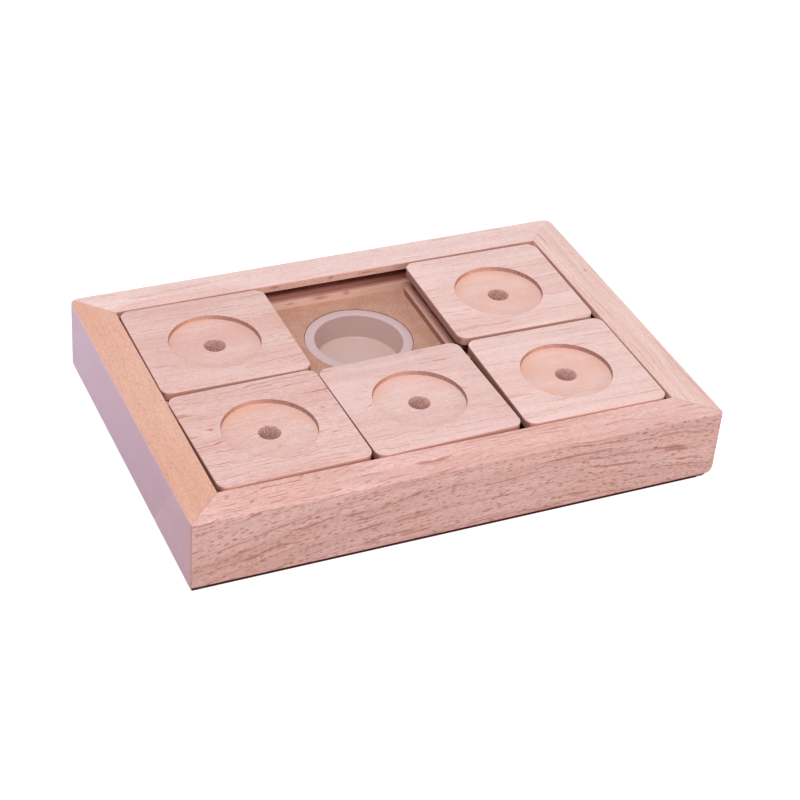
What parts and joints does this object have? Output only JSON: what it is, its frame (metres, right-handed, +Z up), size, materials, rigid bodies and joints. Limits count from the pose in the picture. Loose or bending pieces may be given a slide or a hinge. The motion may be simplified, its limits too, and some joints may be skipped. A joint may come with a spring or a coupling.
{
  "type": "dog puzzle feeder toy",
  "caption": "Low beech tray whose square wooden tiles slide on tongues and grooves over round treat cups; one cell is left empty so that a dog can push the tiles.",
  "frame": {"origin": "on the table, under the middle of the board", "axes": "+X to the right along the board's long side, +Y to the back, where the empty cell is, +Z up"},
  "size_m": [0.2578, 0.1796, 0.0373],
  "materials": {
    "frame_wood": "sanded, unvarnished steamed beech",
    "side_rail_wood": "sanded, unvarnished beech with a warmer tone",
    "tile_wood": "sanded, unvarnished steamed beech",
    "dowel_wood": "plain beech dowel",
    "floor_mdf": "bare MDF",
    "panel_hardboard": "smooth hardboard",
    "cup_plastic": "satin moulded plastic",
    "screw_steel": "zinc plated",
    "foot_rubber": "matte anti-slip pad"
  },
  "bodies": {
    "board": {"rail_front": "frame_wood", "rail_back": "frame_wood", "rail_left": "side_rail_wood", "rail_right": "frame_wood", "dowel_front_left": "dowel_wood", "dowel_front_right": "dowel_wood", "dowel_back_left": "dowel_wood", "dowel_back_right": "dowel_wood", "floor_board": "floor_mdf", "bottom_panel": "panel_hardboard", "panel_screws": "screw_steel", "foot_front_left": "foot_rubber", "foot_front_right": "foot_rubber", "foot_back_left": "foot_rubber", "foot_back_right": "foot_rubber", "cup_front_left": "cup_plastic", "cup_front_middle": "cup_plastic", "cup_front_right": "cup_plastic", "cup_back_left": "cup_plastic", "cup_back_middle": "cup_plastic", "cup_back_right": "cup_plastic"},
    "front_left_slider": {"tile_front_left": "tile_wood"},
    "front_middle_slider": {"tile_front_middle": "tile_wood"},
    "front_right_slider": {"tile_front_right": "tile_wood"},
    "back_left_slider": {"tile_back_left": "tile_wood"},
    "back_right_slider": {"tile_back_right": "tile_wood"}
  },
  "joints": [
    {"name": "back_left_slide", "type": "slide", "parent": "board", "child": "back_left_slider", "axis": [1, 0, 0], "range_m": [0, 0.074]},
    {"name": "front_middle_slide", "type": "slide", "parent": "board", "child": "front_middle_slider", "axis": [0, -1, 0], "range_m": [-0.0715, 0]},
    {"name": "back_right_play", "type": "slide", "parent": "board", "child": "back_right_slider", "axis": [1, 0, 0], "range_m": [-0.0006, 0.001]},
    {"name": "front_left_play", "type": "slide", "parent": "board", "child": "front_left_slider", "axis": [0, 1, 0], "range_m": [0, 0.0008]},
    {"name": "front_right_play", "type": "slide", "parent": "board", "child": "front_right_slider", "axis": [1, 0, 0], "range_m": [-0.0015, 0.0008]}
  ]
}
